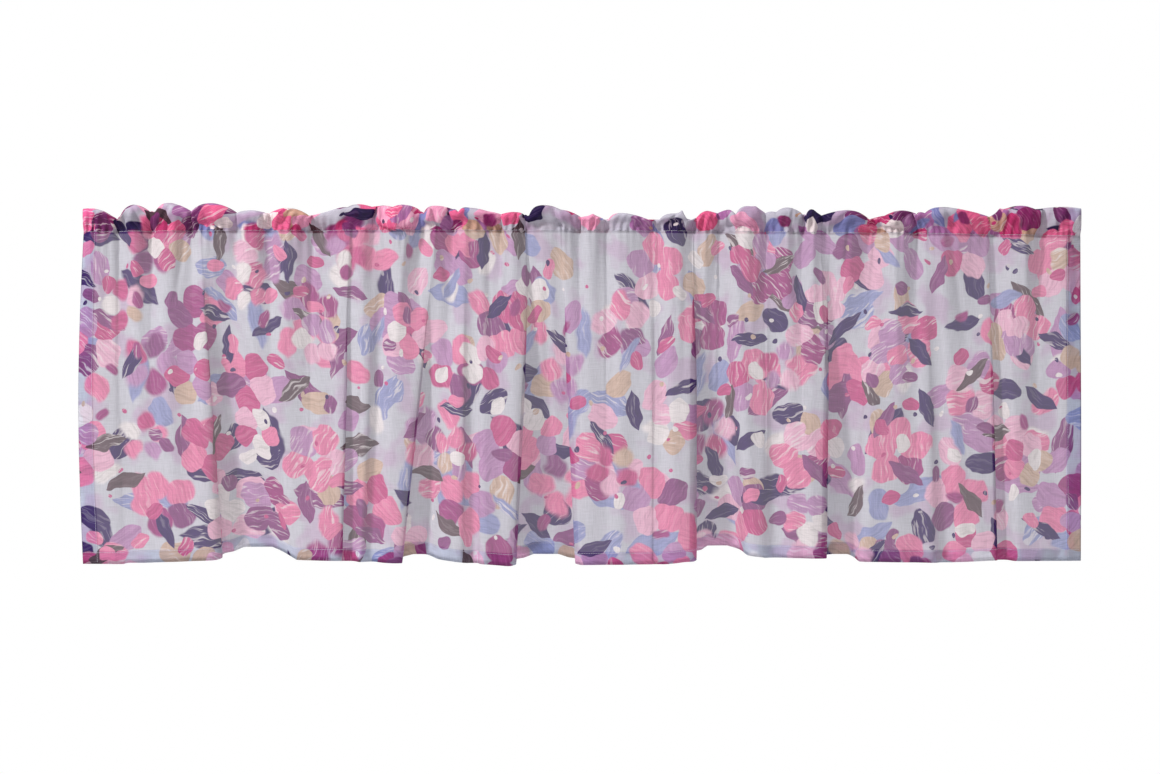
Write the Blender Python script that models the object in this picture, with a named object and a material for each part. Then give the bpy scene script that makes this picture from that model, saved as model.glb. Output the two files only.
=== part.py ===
"""Window valance of printed voile: one wide cloth gathered on a pocket for a thin rod.

Metres, +Z up. The origin is the middle of the top edge, +X runs along the width, and
-Y faces the room. The cloth hangs from the pocket down to about z = -0.61. Heights are
often given as a share of the drop: 0 at the seam under the pocket, 1 at the bottom edge.
"""

from typing import NamedTuple

import bmesh
import bpy
import numpy as np

MM = 0.001

# Driving dimensions.
HALF_WIDTH = 0.839
SEAM_DROP = (0.049, 0.047, 0.056)  # top edge to the seam: left end, middle, right end
EDGE_BOW = 0.008  # how far the left edge swings out at half height
BOW_FROM = 0.82  # share of the half width past which it does
SEAM_GAP = 0.0003

# Thickness of the single cloth and of its turned hems, and how wide the hems are.
CLOTH = 0.0012
HEM_CLOTH = 0.0018
SIDE_HEM = 0.025
BOTTOM_HEM = 0.021

# Share of a recess's depth that the cloth beside it stands forward, and how far that
# reaches, in recess widths.
FRONT_STAND = 0.40
FRONT_REACH = 1.5

# Half the width in which the cloth turns back, where it doesn't lap and where it does.
SOFT_TURN = 0.045
SHARP_TURN = 0.015
SHARP_LAP = 12  # mm
NARROW_TURN = 0.45  # never more than this share of the recess
LAP_AT_SEAM = 0.20  # share of a lap that is there at the seam
LAP_GROWN = 0.50  # share of the drop by which it is whole

# How a ruffle's wave dies out below the seam: its power, and the share that never does.
FADE_POWER = 1.3
RUFFLE_LEFT = 0.14

# The pocket: how far its two plies stand clear of the rod's line.
ROD_CLEAR = 0.0070
FRONT_PUFF = 0.60  # how far a ruffle's front ply puffs out, as a share of its swell
BACK_PUFF = 0.35
POCKET_LIFT = 0.0010  # the fold of the two plies above the seam's own line
SHOULDER = 6.0  # mm above the seam where the plies have parted

# The pocket's section, from the seam round the front, the top and the back: share of the
# reach forward of the rod's line, mm above the seam, and share of the height over that.
POCKET_SECTION = (
    (0.0, 0.0, 0.0),
    (0.75, 2.5, 0.0),
    (1.0, SHOULDER, 0.12),
    (0.97, SHOULDER, 0.62),
    (0.58, SHOULDER, 0.92),
    (0.0, SHOULDER, 1.0),
    (-0.58, SHOULDER, 0.92),
    (-0.97, SHOULDER, 0.62),
    (-1.0, SHOULDER, 0.12),
    (-0.75, 2.5, 0.0),
)

# How finely the surfaces are laid out: the longest step, the largest turn in a step in
# radians, and the shortest step.
PANEL_COLUMNS = 186
PANEL_ROWS = 9
POCKET_COLUMNS = 136
FLAT_STEP = 0.040
TURN_STEP = 0.45
SHORT_STEP = 0.0035
ROW_POWER = 1.25

PANEL_COLOUR = (0.48, 0.34, 0.43, 1.0)
HEADING_COLOUR = (0.30, 0.15, 0.23, 1.0)
CLOTH_ROUGHNESS = 0.85


class Recess(NamedTuple):
    """Cloth that hangs back between two front folds. All in mm, X from the middle."""

    left_top: float
    left_hem: float
    right_top: float
    right_hem: float
    lap_left: float  # how far the front cloth laps over the recess on its left
    lap_right: float
    depth_top: float
    depth_hem: float
    hem_left: float  # top edge to the hem, beside the recess and inside it
    hem_inside: float
    hem_right: float


RECESSES = (
    Recess(-780, -768, -758, -738, 6, 0, 9, 4, 607, 605, 605),
    Recess(-642, -605, -610, -491, 14, 4, 10, 48, 600, 580, 600),
    Recess(-392, -404, -368, -378, 16, 4, 10, 24, 601, 602, 603),
    Recess(-341, -368, -319, -340, 4, 0, 6, 16, 603, 603, 604),
    Recess(-245, -303, -209, -248, 16, 4, 9, 44, 605, 592, 598),
    Recess(-196, -198, -174, -172, 6, 6, 6, 18, 604, 605, 606),
    Recess(-86, -113, -35, -8, 18, 20, 14, 50, 610, 592, 608),
    Recess(120, 118, 142, 144, 8, 2, 9, 8, 607, 607, 606),
    Recess(188, 187, 235, 272, 24, 8, 10, 52, 602, 578, 592),
    Recess(314, 310, 338, 344, 4, 4, 6, 16, 596, 596, 596),
    Recess(415, 407, 481, 462, 20, 8, 11, 46, 597, 592, 603),
    Recess(575, 598, 597, 628, 4, 6, 6, 18, 605, 605, 604),
    Recess(684, 697, 707, 722, 14, 2, 10, 20, 601, 601, 602),
)


class Ruffle(NamedTuple):
    """One puff of the gathered heading. In mm; `top` and `dip` are below z = 0."""

    end: float  # X of its right-hand side
    top: float
    peak: float  # share of its width at which it is highest
    dip: float  # the notch between it and the next one
    swell: float  # how far it stands forward
    reach: float  # how far below the seam it dies out


FIRST_DIP = 10
RUFFLES = (
    Ruffle(-780, 8, 0.30, 24, 10, 130),
    Ruffle(-726, 2, 0.47, 12, 16, 130),
    Ruffle(-656, 0, 0.42, 12, 19, 170),
    Ruffle(-580, 0, 0.38, 17, 21, 190),
    Ruffle(-526, 12, 0.50, 15, 15, 130),
    Ruffle(-459, 8, 0.42, 22, 17, 160),
    Ruffle(-353, 2, 0.76, 7, 20, 210),
    Ruffle(-271, 2, 0.52, 13, 22, 170),
    Ruffle(-217, 5, 0.48, 11, 16, 140),
    Ruffle(-136, 7, 0.30, 18, 18, 180),
    Ruffle(-96, 15, 0.50, 18, 12, 110),
    Ruffle(-2, 3, 0.38, 24, 22, 200),
    Ruffle(39, 23, 0.40, 28, 12, 110),
    Ruffle(119, 17, 0.36, 28, 17, 170),
    Ruffle(183, 15, 0.45, 26, 16, 150),
    Ruffle(227, 13, 0.58, 18, 13, 110),
    Ruffle(308, 5, 0.55, 17, 20, 190),
    Ruffle(371, 7, 0.50, 18, 16, 150),
    Ruffle(402, 8, 0.50, 18, 11, 100),
    Ruffle(482, 12, 0.56, 25, 19, 180),
    Ruffle(563, 10, 0.60, 17, 19, 190),
    Ruffle(684, 7, 0.28, 24, 20, 220),
    Ruffle(770, 5, 0.63, 9, 18, 170),
    Ruffle(839, 7, 0.58, 10, 14, 140),
)


def mix(low, high, share):
    """Value a given share of the way from low to high."""
    return low + (high - low) * share


def ease(share):
    """Smooth step from 0 to 1."""
    share = np.clip(share, 0.0, 1.0)
    return share * share * (3.0 - 2.0 * share)


def seam_height(x):
    """Height of the line of stitching under the pocket."""
    left, middle, right = SEAM_DROP
    share = x / HALF_WIDTH
    return -(middle + (right - left) / 2 * share + ((left + right) / 2 - middle) * share * share)


def hem_height(x):
    """Height of the bottom edge: higher where the cloth hangs back."""
    places = []
    levels = []
    for fold in RECESSES:
        width = fold.right_hem - fold.left_hem
        inset = 0.30 * width
        lead = 0.12 * width
        places += [fold.left_hem - lead, fold.left_hem + inset]
        places += [fold.right_hem - inset, fold.right_hem + lead]
        levels += [fold.hem_left, fold.hem_inside, fold.hem_inside, fold.hem_right]
    return -np.interp(x, np.array(places) * MM, np.array(levels) * MM)


def ruffle_column(name, index):
    """One column of the ruffles' table at each index."""
    return np.array([getattr(ruffle, name) for ruffle in RUFFLES])[index]


def ruffles_at(x):
    """For each x, its ruffle's number and how far its puff has risen there, 0 to 1."""
    ends = np.array([ruffle.end for ruffle in RUFFLES]) * MM
    starts = np.concatenate(([-HALF_WIDTH], ends[:-1]))
    index = np.clip(np.searchsorted(ends, x), 0, len(RUFFLES) - 1)
    passed = np.clip((x - starts[index]) / (ends[index] - starts[index]), 0.0, 1.0)
    skew = np.log(0.5) / np.log(ruffle_column("peak", index))
    return index, passed, np.sin(np.pi * passed ** skew)


def recess_edges(fold, share):
    """X of a recess's two edges at a share of the drop, in metres."""
    left = mix(fold.left_top, fold.left_hem, share) * MM
    right = mix(fold.right_top, fold.right_hem, share) * MM
    return left, right


def plan(along, share):
    """Plan of the hanging cloth at a share of the drop: the real x and y of each point
    whose place on the gathered width is `along`.
    """
    x = np.array(along, dtype=float)
    y = np.zeros_like(x)
    grown = mix(LAP_AT_SEAM, 1.0, ease(share / LAP_GROWN))
    for fold in RECESSES:
        left, right = recess_edges(fold, share)
        depth = mix(fold.depth_top, fold.depth_hem, ease(share)) * MM
        back = np.ones_like(x)
        for edge, lap, side in ((left, fold.lap_left, 1.0), (right, fold.lap_right, -1.0)):
            turn = mix(SOFT_TURN, SHARP_TURN, ease(lap / SHARP_LAP))
            turn = min(turn, NARROW_TURN * (right - left) + 2.0 * MM)
            passed = np.clip((along - edge) / turn, -1.0, 1.0)
            back = back * ease((side * passed + 1.0) / 2.0)
            x -= lap * grown * MM / 2 * np.sin(np.pi * passed)
        beside = np.exp(-((along - (left + right) / 2) / (FRONT_REACH * (right - left))) ** 2)
        y += depth * (back - FRONT_STAND * beside)
    index, _, puff = ruffles_at(along)
    below = share * (seam_height(along) - hem_height(along))
    fading = np.exp(-(below / (ruffle_column("reach", index) * MM)) ** FADE_POWER)
    wave = ruffle_column("swell", index) * MM * (puff ** 2 - 0.5)
    y -= wave * mix(RUFFLE_LEFT, 1.0, fading)
    bow = EDGE_BOW * np.sin(np.pi * share)
    return x - bow * ease((-along / HALF_WIDTH - BOW_FROM) / (1.0 - BOW_FROM)), y


def fold_marks(share):
    """The two ends of the cloth and the edges of its recesses at one height, in order."""
    edges = [edge for fold in RECESSES for edge in recess_edges(fold, share)]
    return [-HALF_WIDTH] + edges + [HALF_WIDTH]


def follow_folds(places, share):
    """Where columns placed at half height hang at another, each staying with its fold."""
    return np.interp(places, fold_marks(0.5), fold_marks(share))


def columns(count, shares):
    """Places across the width for the surface's columns, closer where the plan turns."""
    along = np.linspace(-HALF_WIDTH, HALF_WIDTH, 6001)
    effort = np.zeros(len(along) - 1)
    for share in shares:
        x, y = plan(follow_folds(along, share), share)
        heading = np.unwrap(np.arctan2(np.diff(y), np.diff(x)))
        turned = np.abs(np.diff(heading, prepend=heading[0]))
        length = np.hypot(np.diff(x), np.diff(y))
        effort += np.minimum(length / FLAT_STEP + turned / TURN_STEP, length / SHORT_STEP)
    travelled = np.concatenate(([0.0], np.cumsum(effort)))
    return np.interp(np.linspace(0.0, travelled[-1], count + 1), travelled, along)


def panel_rows():
    """Shares of the drop for the panel's rows: closer under the gathers, and one row on
    the upper edge of the bottom hem.
    """
    hem_top = 1.0 - BOTTOM_HEM / (-hem_height(0.0) - SEAM_DROP[1])
    return [hem_top * (row / PANEL_ROWS) ** ROW_POWER for row in range(PANEL_ROWS + 1)] + [1.0]


def link_object(name, shape):
    """New object in the scene with a finished bmesh as its mesh."""
    bmesh.ops.recalc_face_normals(shape, faces=shape.faces)
    mesh = bpy.data.meshes.new(name)
    shape.to_mesh(mesh)
    shape.free()
    thing = bpy.data.objects.new(name, mesh)
    bpy.context.collection.objects.link(thing)
    return thing


def give_thickness(thing, thickness):
    """Gives a surface a cloth's thickness, half on each side."""
    solidify = thing.modifiers.new("cloth", "SOLIDIFY")
    solidify.thickness = thickness
    solidify.offset = 0.0
    solidify.use_quality_normals = True
    return solidify


def build_panel():
    """The hanging cloth, from the seam under the pocket to its bottom edge, with hems."""
    places = columns(PANEL_COLUMNS, (0.0, 0.4, 1.0))
    hem = hem_height(follow_folds(places, 1.0))
    shares = panel_rows()
    shape = bmesh.new()
    bmesh.ops.create_grid(shape, x_segments=PANEL_COLUMNS, y_segments=len(shares) - 1, size=1.0)
    rows = []
    for share in shares:
        along = follow_folds(places, share)
        x, y = plan(along, share)
        rows.append((x, y, mix(seam_height(along) - SEAM_GAP, hem, share)))
    turned = []
    for vert in shape.verts:
        column = round((vert.co.x + 1.0) / 2.0 * PANEL_COLUMNS)
        row = round((1.0 - vert.co.y) / 2.0 * (len(shares) - 1))
        x, y, z = rows[row]
        vert.co = (x[column], y[column], z[column])
        in_side_hem = HALF_WIDTH - abs(places[column]) < SIDE_HEM
        if in_side_hem or row >= len(shares) - 2:
            turned.append(vert.index)
    panel = link_object("valance_panel", shape)
    hems = panel.vertex_groups.new(name="hems")
    hems.add(turned, 1.0, "REPLACE")
    solidify = give_thickness(panel, HEM_CLOTH)
    solidify.vertex_group = hems.name
    solidify.thickness_vertex_group = CLOTH / HEM_CLOTH
    return panel


def pocket_rings():
    """Paths of the points of the pocket's section, each along the whole width."""
    places = follow_folds(columns(POCKET_COLUMNS, (0.0,)), 0.0)
    seam_x, seam_y = plan(places, 0.0)
    index, passed, puff = ruffles_at(places)
    dips = np.array([FIRST_DIP] + [ruffle.dip for ruffle in RUFFLES])
    dip = mix(dips[index], dips[index + 1], passed)
    crown = -mix(dip, ruffle_column("top", index), puff) * MM
    foot = seam_height(places) + POCKET_LIFT
    rings = []
    for forward, low, share in POCKET_SECTION:
        puffed = FRONT_PUFF if forward > 0.0 else BACK_PUFF
        reach = ROD_CLEAR + puffed * ruffle_column("swell", index) * MM * puff
        hold = (1.0 - ease(low / SHOULDER)) * seam_y
        rings.append((seam_x, hold - forward * reach, mix(foot + low * MM, crown, share)))
    return rings


def twins(ring, copies):
    """An extruded ring's points, in the order of the ring that they came from."""
    left = list(copies)
    ordered = []
    for vert in ring:
        twin = min(left, key=lambda other: (other.co - vert.co).length_squared)
        left.remove(twin)
        ordered.append(twin)
    return ordered


def build_pocket():
    """The heading: the top of the cloth turned over into a pocket, puffed into ruffles."""
    rings = pocket_rings()
    shape = bmesh.new()
    ring = bmesh.ops.create_circle(shape, segments=len(rings), radius=1.0)["verts"]
    for column in range(POCKET_COLUMNS + 1):
        if column > 0:
            edges = [shape.edges.get(pair) for pair in zip(ring, ring[1:] + ring[:1])]
            made = bmesh.ops.extrude_edge_only(shape, edges=edges)["geom"]
            ring = twins(ring, [item for item in made if isinstance(item, bmesh.types.BMVert)])
        for vert, (x, y, z) in zip(ring, rings):
            vert.co = (x[column], y[column], z[column])
    pocket = link_object("rod_pocket_heading", shape)
    give_thickness(pocket, CLOTH)
    return pocket


def give_material(thing, name, colour):
    """Matt woven cloth of one colour."""
    material = bpy.data.materials.new(name)
    material.use_nodes = True
    surface = material.node_tree.nodes["Principled BSDF"]
    surface.inputs["Base Color"].default_value = colour
    surface.inputs["Roughness"].default_value = CLOTH_ROUGHNESS
    surface.inputs["Metallic"].default_value = 0.0
    thing.data.materials.append(material)


def main():
    """Builds the valance in an emptied scene."""
    for thing in list(bpy.data.objects):
        bpy.data.objects.remove(thing)
    give_material(build_panel(), "printed voile", PANEL_COLOUR)
    give_material(build_pocket(), "printed voile, doubled", HEADING_COLOUR)


main()
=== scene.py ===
"""Looks of a window valance in printed voile: folds, ruffles, hems, stitches and print.

Metres, +Z up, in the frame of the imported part: the origin is the middle of the top edge,
+X runs along the width and -Y faces the room. The tables are in millimetres. Heights are
often a share of the drop: 0 at the seam under the rod pocket, 1 at the bottom edge.
"""

import logging
import math
from dataclasses import dataclass
from enum import Enum
from typing import NamedTuple

import bmesh
import bpy
import numpy as np
from mathutils import Matrix, Vector


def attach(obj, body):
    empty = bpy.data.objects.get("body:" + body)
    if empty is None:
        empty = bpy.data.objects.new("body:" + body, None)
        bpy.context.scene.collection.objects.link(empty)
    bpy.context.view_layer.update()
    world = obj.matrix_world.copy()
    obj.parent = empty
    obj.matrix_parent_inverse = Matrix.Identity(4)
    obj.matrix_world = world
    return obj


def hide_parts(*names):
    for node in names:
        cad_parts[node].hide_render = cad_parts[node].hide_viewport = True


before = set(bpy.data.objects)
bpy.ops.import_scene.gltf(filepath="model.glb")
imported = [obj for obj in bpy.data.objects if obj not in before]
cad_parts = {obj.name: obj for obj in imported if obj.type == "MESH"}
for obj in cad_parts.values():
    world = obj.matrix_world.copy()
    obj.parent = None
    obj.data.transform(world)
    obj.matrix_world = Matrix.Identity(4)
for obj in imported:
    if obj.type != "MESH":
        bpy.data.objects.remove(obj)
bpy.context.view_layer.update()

log = logging.getLogger("valance")
MM = 0.001
FLAT_MAP = "flat_cloth"
FINE_COUNT = 12001  # even places over which a sheet's columns are spread
Values = float | np.ndarray


class Recess(NamedTuple):
    """Cloth that hangs back between two front folds, in mm, X from the middle."""

    left_top: float
    left_hem: float
    right_top: float
    right_hem: float
    lap_left: float  # how far the front cloth laps over the recess on its left
    lap_right: float
    depth_top: float
    depth_hem: float
    hem_left: float  # top edge to the hem, beside the recess and inside it
    hem_inside: float
    hem_right: float


RECESSES = (
    Recess(-780, -768, -758, -738, 6, 0, 9, 4, 607, 605, 605),
    Recess(-642, -605, -610, -491, 14, 4, 10, 48, 600, 580, 600),
    Recess(-392, -404, -368, -378, 16, 4, 10, 24, 601, 602, 603),
    Recess(-341, -368, -319, -340, 4, 0, 6, 16, 603, 603, 604),
    Recess(-245, -303, -209, -248, 16, 4, 9, 44, 605, 592, 598),
    Recess(-196, -198, -174, -172, 6, 6, 6, 18, 604, 605, 606),
    Recess(-86, -113, -35, -8, 18, 20, 14, 50, 610, 592, 608),
    Recess(120, 118, 142, 144, 8, 2, 9, 8, 607, 607, 606),
    Recess(188, 187, 235, 272, 24, 8, 10, 52, 602, 578, 592),
    Recess(314, 310, 338, 344, 4, 4, 6, 16, 596, 596, 596),
    Recess(415, 407, 481, 462, 20, 8, 11, 46, 597, 592, 603),
    Recess(575, 598, 597, 628, 4, 6, 6, 18, 605, 605, 604),
    Recess(684, 697, 707, 722, 14, 2, 10, 20, 601, 601, 602),
)


class Ruffle(NamedTuple):
    """One puff of the gathered heading, in mm; top and dip are below z = 0."""

    end: float  # X of its right-hand side
    top: float
    peak: float  # share of its width at which it is highest
    dip: float  # the notch between it and the next one
    swell: float  # how far it stands forward
    reach: float  # how far below the seam it dies out
    lean: float  # how far its crown rolls to the right, or to the left where negative
    droop: float  # how far its front hangs down over the seam
    tuck: float  # share of its width where a crease runs up from the seam
    tuck_depth: float


FIRST_DIP = 10
RUFFLES = (
    Ruffle(-780, 8, 0.30, 24, 10, 130, 2, 0, 0.62, 1.2),
    Ruffle(-726, 2, 0.47, 12, 16, 130, -5, 0, 0.72, 2.2),
    Ruffle(-656, 0, 0.42, 12, 19, 170, 7, 0, 0.24, 2.6),
    Ruffle(-580, 0, 0.38, 17, 21, 190, -7, 6, 0.16, 3.0),
    Ruffle(-526, 12, 0.50, 15, 15, 130, 4, 0, 0.80, 2.4),
    Ruffle(-459, 8, 0.42, 22, 17, 160, 8, 0, 0.30, 2.6),
    Ruffle(-353, 2, 0.76, 7, 20, 210, 9, 0, 0.55, 2.4),
    Ruffle(-271, 2, 0.52, 13, 22, 170, -4, 21, 0.20, 2.8),
    Ruffle(-217, 5, 0.48, 11, 16, 140, -6, 8, 0.60, 2.6),
    Ruffle(-136, 7, 0.30, 18, 18, 180, -8, 0, 0.42, 3.0),
    Ruffle(-96, 15, 0.50, 18, 12, 110, 3, 0, 0.55, 1.8),
    Ruffle(-2, 3, 0.38, 24, 22, 200, -6, 5, 0.64, 3.2),
    Ruffle(39, 23, 0.40, 28, 12, 110, 3, 0, 0.50, 1.6),
    Ruffle(119, 17, 0.36, 28, 17, 170, 6, 0, 0.70, 2.6),
    Ruffle(183, 15, 0.45, 26, 16, 150, 8, 0, 0.36, 2.4),
    Ruffle(227, 13, 0.58, 18, 13, 110, 5, 0, 0.40, 2.0),
    Ruffle(308, 5, 0.55, 17, 20, 190, -5, 8, 0.26, 3.0),
    Ruffle(371, 7, 0.50, 18, 16, 150, 4, 0, 0.66, 2.4),
    Ruffle(402, 8, 0.50, 18, 11, 100, -3, 0, 0.50, 1.6),
    Ruffle(482, 12, 0.56, 25, 19, 180, 7, 0, 0.34, 2.8),
    Ruffle(563, 10, 0.60, 17, 19, 190, -4, 9, 0.22, 2.8),
    Ruffle(684, 7, 0.28, 24, 20, 220, -8, 0, 0.52, 3.0),
    Ruffle(770, 5, 0.63, 9, 18, 170, 6, 0, 0.30, 2.6),
    Ruffle(839, 7, 0.58, 10, 14, 140, -3, 0, 0.45, 2.0),
)


class Crease(NamedTuple):
    """A soft ridge in the hanging cloth, or a trough where its height is negative."""

    top_x: float  # mm from the middle, where it starts
    top: float  # share of the drop
    foot_x: float
    foot: float
    width: float  # mm
    height: float


CREASES = (
    Crease(-812, 0.02, -800, 0.46, 7, 1.6),
    Crease(-801, 0.30, -786, 1.00, 14, 2.4),
    Crease(-724, 0.00, -712, 0.38, 6, -2.2),
    Crease(-706, 0.20, -676, 1.00, 16, 3.2),
    Crease(-668, 0.00, -690, 0.30, 5, -2.0),
    Crease(-628, 0.10, -560, 0.94, 8, -3.0),
    Crease(-566, 0.00, -560, 0.42, 6, 2.6),
    Crease(-540, 0.00, -470, 0.55, 7, -2.4),
    Crease(-452, 0.00, -466, 0.60, 6, -2.6),
    Crease(-440, 0.35, -436, 1.00, 15, 3.4),
    Crease(-383, 0.00, -395, 0.90, 4, -3.2),
    Crease(-331, 0.02, -350, 0.80, 8, -2.6),
    Crease(-296, 0.00, -318, 0.50, 6, 2.2),
    Crease(-245, 0.02, -213, 0.24, 5, -2.8),
    Crease(-228, 0.06, -268, 0.96, 9, 2.8),
    Crease(-160, 0.00, -148, 0.62, 6, -2.4),
    Crease(-128, 0.00, -142, 0.36, 5, 2.6),
    Crease(-62, 0.05, -52, 0.96, 8, -3.4),
    Crease(-12, 0.00, 26, 0.48, 7, -2.6),
    Crease(44, 0.00, 58, 0.70, 6, -2.2),
    Crease(70, 0.40, 62, 1.00, 15, 2.8),
    Crease(103, 0.12, 106, 0.44, 5, -2.0),
    Crease(129, 0.00, 131, 0.20, 4, -3.2),
    Crease(168, 0.00, 160, 0.55, 6, 2.2),
    Crease(212, 0.03, 230, 0.98, 8, -3.0),
    Crease(262, 0.00, 292, 0.62, 7, -2.4),
    Crease(300, 0.00, 284, 0.34, 5, 2.2),
    Crease(352, 0.00, 372, 0.40, 6, -2.2),
    Crease(372, 0.45, 384, 1.00, 14, 2.6),
    Crease(447, 0.00, 440, 0.16, 4, -3.2),
    Crease(452, 0.14, 432, 0.98, 9, -3.0),
    Crease(496, 0.00, 459, 0.86, 6, -2.8),
    Crease(520, 0.00, 536, 0.66, 7, 2.4),
    Crease(556, 0.00, 548, 0.32, 5, -2.4),
    Crease(618, 0.00, 660, 0.52, 7, -2.2),
    Crease(660, 0.30, 668, 1.00, 15, 3.0),
    Crease(693, 0.00, 706, 0.84, 5, -3.0),
    Crease(742, 0.00, 758, 0.58, 7, 2.4),
    Crease(776, 0.00, 764, 0.30, 5, -2.2),
    Crease(790, 0.40, 800, 1.00, 13, -2.0),
)


def mix(low: Values, high: Values, share: Values) -> Values:
    """Value a given share of the way from low to high."""
    return low + (high - low) * share


def ease(share: Values) -> Values:
    """Smooth step from 0 to 1."""
    share = np.clip(share, 0.0, 1.0)
    return share * share * (3.0 - 2.0 * share)


@dataclass
class GatheredCloth:
    """The cloth as it hangs gathered: its heights, and its plan at any height."""

    half_width: float = 0.839
    seam_drop: tuple[float, float, float] = (0.049, 0.047, 0.056)  # left, middle, right
    hem_inset: float = 0.30  # share of a recess's width in which its hem has risen
    hem_lead: float = 0.12  # share of it by which the hem starts to rise outside
    edge_bow: float = 0.008  # by which the left side bows in, half way down
    bow_from: float = 0.82  # share of the half width where that starts
    front_stand: float = 0.40  # how far the front beside a recess stands out, of its depth
    front_reach: float = 1.5  # times the recess's width
    soft_turn: float = 0.045  # how wide the cloth turns into a recess that nothing laps
    sharp_turn: float = 0.015  # and into one that is lapped
    sharp_lap: float = 12.0  # mm
    narrow_turn: float = 0.45  # share of the recess's width that a turn takes at most
    lap_at_seam: float = 0.20  # share of a lap's width there
    lap_grown: float = 0.50  # share of the drop where a lap has its full width
    depth_at_seam: float = 0.6  # share of a recess's depth there
    depth_grown: float = 0.10  # share of the drop where it is full
    crease_rise: float = 0.25  # share of a crease's length in which it comes
    crease_fall: float = 0.65  # and goes
    fade_power: float = 1.3  # of the ruffles' wave down the cloth
    ruffle_left: float = 0.14  # share of that wave at the hem
    valley_power: float = 1.1  # of the ruffles' wave at the seam, for sharper valleys
    valley_stand: float = 0.34  # share of a swell by which a valley lies back at the seam
    valley_reach: float = 0.050  # below the seam, where both die out
    crease_at_seam: float = 1.45  # how much sharper the small creases are there
    seam_groove: float = 0.0009  # by which the stitches pull the cloth in
    groove_reach: float = 0.0035
    pucker: float = 0.0015  # of the small gathers along the seam
    pucker_pitch: float = 0.0125
    pucker_reach: float = 0.030
    sway: float = 0.0012  # of the cloth between its folds
    flat_step: float = 0.0032  # between columns where the cloth is flat
    turn_step: float = 0.14  # radians that it may turn between two columns
    short_step: float = 0.0011  # shortest step between columns

    def seam_height(self, x: np.ndarray) -> np.ndarray:
        """Finds the height of the line of stitching under the pocket.

        Args:
            x: places on the gathered width.

        Returns:
            The height at each.
        """
        left, middle, right = self.seam_drop
        share = x / self.half_width
        bend = (left + right) / 2 - middle
        return -(middle + (right - left) / 2 * share + bend * share * share)

    def hem_height(self, x: np.ndarray) -> np.ndarray:
        """Finds the height of the bottom edge, which is higher where the cloth hangs back.

        Args:
            x: places on the gathered width, as they hang at the hem.

        Returns:
            The height at each.
        """
        places: list[float] = []
        levels: list[float] = []
        for fold in RECESSES:
            width = fold.right_hem - fold.left_hem
            inset = self.hem_inset * width
            lead = self.hem_lead * width
            places += [fold.left_hem - lead, fold.left_hem + inset]
            places += [fold.right_hem - inset, fold.right_hem + lead]
            levels += [fold.hem_left, fold.hem_inside, fold.hem_inside, fold.hem_right]
        return -np.interp(x, np.array(places) * MM, np.array(levels) * MM)

    def ruffle_column(self, name: str, index: np.ndarray) -> np.ndarray:
        """One column of the ruffles' table at each index."""
        return np.array([getattr(ruffle, name) for ruffle in RUFFLES])[index]

    def ruffles_at(self, x: np.ndarray) -> tuple[np.ndarray, np.ndarray, np.ndarray]:
        """Finds the ruffle at each place.

        Args:
            x: places on the gathered width.

        Returns:
            Each place's ruffle, the share of it that is passed, and how far it has puffed.
        """
        ends = np.array([ruffle.end for ruffle in RUFFLES]) * MM
        starts = np.concatenate(([-self.half_width], ends[:-1]))
        index = np.clip(np.searchsorted(ends, x), 0, len(RUFFLES) - 1)
        passed = np.clip((x - starts[index]) / (ends[index] - starts[index]), 0.0, 1.0)
        skew = np.log(0.5) / np.log(self.ruffle_column("peak", index))
        return index, passed, np.sin(np.pi * passed ** skew)

    def recess_edges(self, fold: Recess, share: float) -> tuple[float, float]:
        """Finds a recess's two edges at one height.

        Args:
            fold: the recess.
            share: share of the drop.

        Returns:
            X of its left and right edge, in metres.
        """
        left = mix(fold.left_top, fold.left_hem, share) * MM
        right = mix(fold.right_top, fold.right_hem, share) * MM
        return left, right

    def creases(self, along: np.ndarray, share: float) -> np.ndarray:
        """Finds how far the small creases bring the cloth forward at one height.

        Args:
            along: places on the gathered width.
            share: share of the drop.

        Returns:
            The way forward at each place.
        """
        forward = np.zeros_like(along)
        for crease in CREASES:
            passed = (share - crease.top) / (crease.foot - crease.top)
            if not 0.0 <= passed <= 1.0:
                continue
            left = (1.0 - passed) / self.crease_fall
            rise = 1.0 if crease.top == 0.0 else ease(passed / self.crease_rise)
            fall = 1.0 if crease.foot == 1.0 else ease(left)
            middle = mix(crease.top_x, crease.foot_x, passed) * MM
            offset = (along - middle) / (crease.width * MM)
            forward += crease.height * MM * rise * fall * np.exp(-offset * offset)
        return forward * mix(self.crease_at_seam, 1.0, ease(share / 0.35))

    def puckers(self, along: np.ndarray, below: np.ndarray) -> np.ndarray:
        """Finds how far the small gathers along the seam bring the cloth forward.

        Their pitch and height wander along the seam, so that no two are alike.

        Args:
            along: places on the gathered width.
            below: distance below the seam, or above it where negative.

        Returns:
            The way forward at each place.
        """
        turns = along / self.pucker_pitch + 0.55 * np.sin(along * 23.0)
        turns = turns + 0.30 * np.sin(along * 61.0 + 1.0)
        swell = 0.62 + 0.38 * np.sin(along * 37.0 + 0.6)
        fading = np.exp(-np.abs(below) / self.pucker_reach)
        return self.pucker * swell * fading * np.sin(2.0 * np.pi * turns)

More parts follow.
